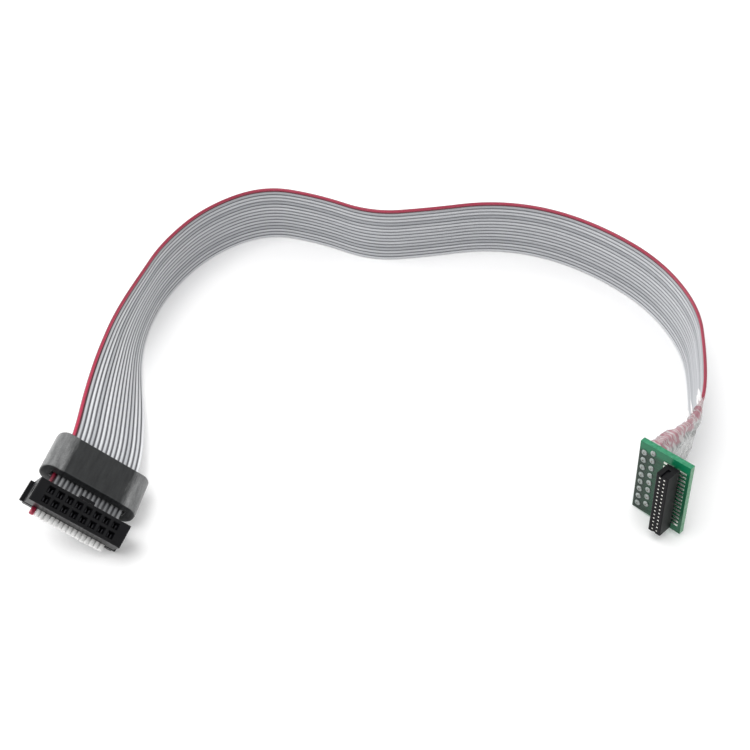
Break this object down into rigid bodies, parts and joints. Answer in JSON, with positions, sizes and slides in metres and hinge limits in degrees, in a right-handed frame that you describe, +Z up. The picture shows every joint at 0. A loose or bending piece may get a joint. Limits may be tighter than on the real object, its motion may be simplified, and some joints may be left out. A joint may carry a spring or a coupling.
{
  "type": "printhead cable",
  "caption": "Printhead cable: a 16-way grey ribbon with a red edge wire, a 2x8 crimped socket with a flat ferrite core at one end and a glued adapter board with a 2x15 header at the other.",
  "frame": {"origin": "On the table, midway between the outer limits of the socket end and the board end, measured without the free ribbon and the ferrite core on it.", "axes": "+Z up from the table the cable lies on; +X from the socket end towards the board end; +Y away from the two ends, towards the loop of ribbon."},
  "size_m": [0.1821, 0.1366, 0.0248],
  "materials": {
    "ribbon_pvc": "ridged light grey PVC, one edge wire crimson",
    "ferrite": "dark grey sintered ferrite, slightly streaked sheen",
    "socket_plastic": "black moulded glass-filled plastic",
    "contact_metal": "tin plated spring contact",
    "board_mask": "green solder mask on glass-fibre board with paler cut edges",
    "header_plastic": "black moulded header plastic",
    "lead_metal": "tin plated leads",
    "wire_pvc": "split ribbon wires with tinned bare ends",
    "solder": "dull bright solder",
    "clear_glue": "milky translucent hot-melt glue"
  },
  "bodies": {
    "root": {"ribbon_cable": "ribbon_pvc", "ferrite_core": "ferrite", "socket_body": "socket_plastic", "socket_cover": "socket_plastic", "socket_contact_01": "contact_metal", "socket_contact_02": "contact_metal", "socket_contact_03": "contact_metal", "socket_contact_04": "contact_metal", "socket_contact_05": "contact_metal", "socket_contact_06": "contact_metal", "socket_contact_07": "contact_metal", "socket_contact_08": "contact_metal", "socket_contact_09": "contact_metal", "socket_contact_10": "contact_metal", "socket_contact_11": "contact_metal", "socket_contact_12": "contact_metal", "socket_contact_13": "contact_metal", "socket_contact_14": "contact_metal", "socket_contact_15": "contact_metal", "socket_contact_16": "contact_metal", "adapter_board": "board_mask", "header_housing": "header_plastic", "header_contact_01": "lead_metal", "header_contact_02": "lead_metal", "header_contact_03": "lead_metal", "header_contact_04": "lead_metal", "header_contact_05": "lead_metal", "header_contact_06": "lead_metal", "header_contact_07": "lead_metal", "header_contact_08": "lead_metal", "header_contact_09": "lead_metal", "header_contact_10": "lead_metal", "header_contact_11": "lead_metal", "header_contact_12": "lead_metal", "header_contact_13": "lead_metal", "header_contact_14": "lead_metal", "header_contact_15": "lead_metal", "header_contact_16": "lead_metal", "header_contact_17": "lead_metal", "header_contact_18": "lead_metal", "header_contact_19": "lead_metal", "header_contact_20": "lead_metal", "header_contact_21": "lead_metal", "header_contact_22": "lead_metal", "header_contact_23": "lead_metal", "header_contact_24": "lead_metal", "header_contact_25": "lead_metal", "header_contact_26": "lead_metal", "header_contact_27": "lead_metal", "header_contact_28": "lead_metal", "header_contact_29": "lead_metal", "header_contact_30": "lead_metal", "wire_tails": "wire_pvc", "solder_joints": "solder", "sealant": "clear_glue"}
  },
  "joints": []
}
